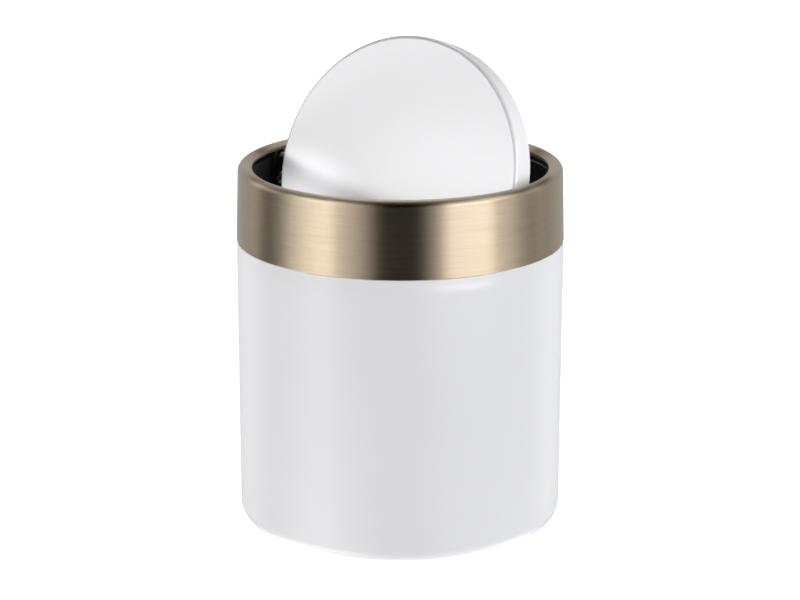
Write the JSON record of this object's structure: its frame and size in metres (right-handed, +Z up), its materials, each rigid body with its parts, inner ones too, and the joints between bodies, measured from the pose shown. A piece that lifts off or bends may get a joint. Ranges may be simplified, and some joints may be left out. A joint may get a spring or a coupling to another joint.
{
  "type": "countertop trash can",
  "caption": "White countertop trash can with a lift-off brushed bronze collar and a round white lid that swings on a cross rod and is weighted to close.",
  "frame": {"origin": "centre of the base, in the plane the can stands on", "axes": "+Z up along the can's axis; the lid's cross rod lies along X; the front, which the open lid's outer face turns to, is -Y"},
  "size_m": [0.12, 0.12, 0.1794],
  "materials": {
    "white_paint": "satin gloss white paint on steel",
    "inner_paint": "satin white paint on steel",
    "pad_foam": "matte black foam rubber",
    "bronze_steel": "brushed round the ring, champagne bronze colour",
    "black_plastic": "satin moulded black",
    "black_acetal": "semi-gloss moulded black",
    "bright_screw": "nickel-plated steel",
    "lid_paint": "satin white paint on steel",
    "tray_plastic": "fine-textured moulded black",
    "bright_rod": "drawn bright steel",
    "spring_steel": "oiled spring steel",
    "zinc_bar": "zinc-plated steel"
  },
  "bodies": {
    "can": {"can_body": "white_paint", "base_disc": "inner_paint", "base_pad": "pad_foam"},
    "collar": {"collar_band": "bronze_steel", "collar_liner": "black_plastic", "pivot_block_left": "black_acetal", "pivot_block_right": "black_acetal", "pivot_block_screws": "bright_screw"},
    "lid": {"lid_cap": "lid_paint", "lid_tray": "tray_plastic", "axle_rod": "bright_rod", "axle_clips": "spring_steel", "counterweight_bar": "zinc_bar", "counterweight_screws": "bright_screw"}
  },
  "joints": [
    {"name": "collar_lift", "type": "slide", "parent": "can", "child": "collar", "axis": [0, 0, 1], "range_m": [0, 0.06]},
    {"name": "lid_swing", "type": "hinge", "parent": "collar", "child": "lid", "pos_m": [0, 0, 0.1305], "axis": [1, 0, 0], "continuous": true}
  ]
}
